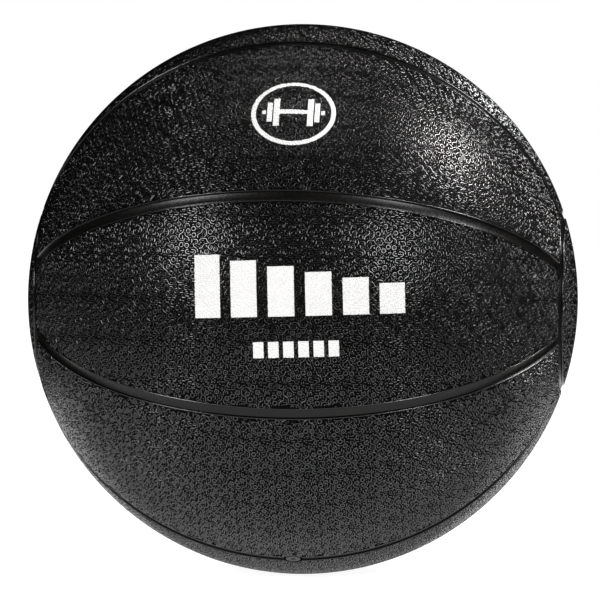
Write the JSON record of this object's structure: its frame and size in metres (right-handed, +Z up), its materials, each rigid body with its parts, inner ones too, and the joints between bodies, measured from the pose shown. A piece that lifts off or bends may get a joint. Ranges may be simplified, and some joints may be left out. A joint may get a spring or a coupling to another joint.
{
  "type": "medicine ball",
  "caption": "Heavy round rubber exercise ball with a textured gore cover, round end caps, moulded seam channels and an inflation valve.",
  "frame": {"origin": "centre of the ball", "axes": "+X from the left end cap to the right one, -Y through the gore that carries the two rows of printed bars, +Z up with the bars upright"},
  "size_m": [0.28, 0.28, 0.28],
  "materials": {
    "cover_rubber": "satin black, moulded relief of small rings and squiggles",
    "seam_rubber": "smooth satin black",
    "carcass_rubber": "matt",
    "winding_thread": "nylon thread set in latex",
    "ballast_rubber": "matt, mineral-loaded",
    "bladder_rubber": "smooth butyl",
    "valve_rubber": "satin",
    "print_ink": "off-white screen print over the relief"
  },
  "bodies": {
    "root": {"cover_gore_front": "cover_rubber", "cover_gore_front_upper": "cover_rubber", "cover_gore_top": "cover_rubber", "cover_gore_rear_upper": "cover_rubber", "cover_gore_rear": "cover_rubber", "cover_gore_rear_lower": "cover_rubber", "cover_gore_bottom": "cover_rubber", "cover_gore_front_lower": "cover_rubber", "end_cap_left": "cover_rubber", "end_cap_right": "cover_rubber", "seam_strip_front_high": "seam_rubber", "seam_strip_top_front": "seam_rubber", "seam_strip_top_rear": "seam_rubber", "seam_strip_rear_high": "seam_rubber", "seam_strip_rear_low": "seam_rubber", "seam_strip_bottom_rear": "seam_rubber", "seam_strip_front_low": "seam_rubber", "seam_strip_bottom_front_left": "seam_rubber", "seam_strip_bottom_front_right": "seam_rubber", "ring_strip_left": "seam_rubber", "ring_strip_right": "seam_rubber", "carcass_half_upper": "carcass_rubber", "carcass_half_lower": "carcass_rubber", "thread_winding": "winding_thread", "ballast_half_upper": "ballast_rubber", "ballast_half_lower": "ballast_rubber", "bladder": "bladder_rubber", "valve_sleeve": "bladder_rubber", "valve_core": "valve_rubber", "valve_eyelet": "valve_rubber"}
  },
  "joints": []
}
